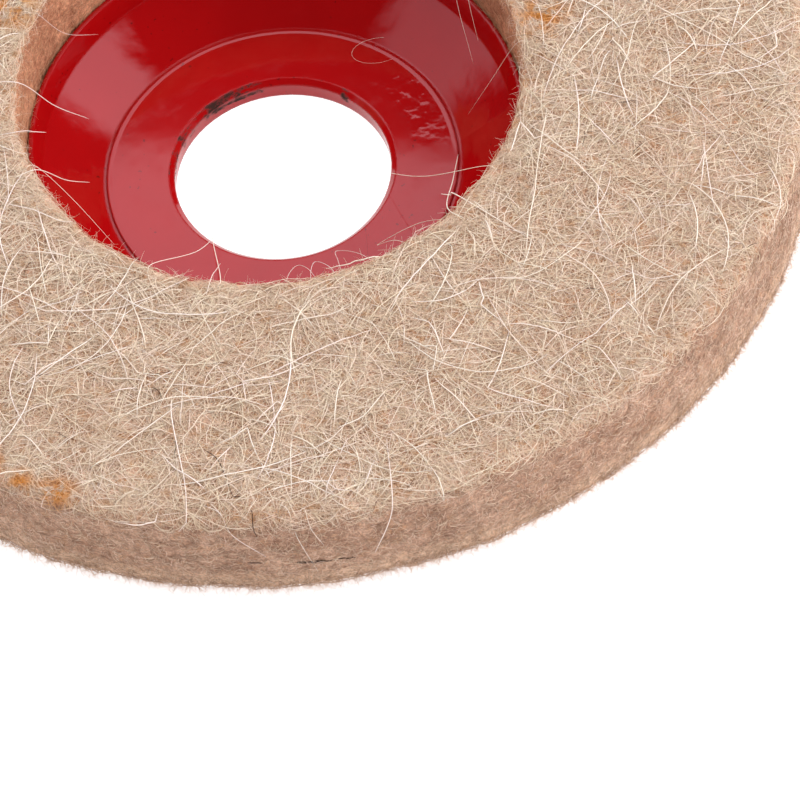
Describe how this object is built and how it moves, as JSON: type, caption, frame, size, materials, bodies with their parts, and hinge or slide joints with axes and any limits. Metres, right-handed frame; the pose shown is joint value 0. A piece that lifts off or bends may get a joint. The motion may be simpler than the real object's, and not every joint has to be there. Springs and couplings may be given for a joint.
{
  "type": "felt polishing wheel",
  "caption": "Pressed wool felt polishing disc on a dished plastic backing plate, with a plain spindle bore and a recessed seat for the lock nut.",
  "frame": {"origin": "on the wheel's axis, in the plane of the hub's rear face, which seats on the machine's flange", "axes": "+Z along the spindle axis, out of the felt's working face; the wheel is round, so X and Y are any pair square to it"},
  "size_m": [0.1, 0.1, 0.0157],
  "materials": {
    "wool_felt": "pressed, hairy",
    "glue": "cured amber contact adhesive",
    "red_plastic": "glossy moulded, lightly scuffed"
  },
  "bodies": {
    "root": {"felt_ring": "wool_felt", "glue_film": "glue", "backing_plate": "red_plastic"}
  },
  "joints": []
}
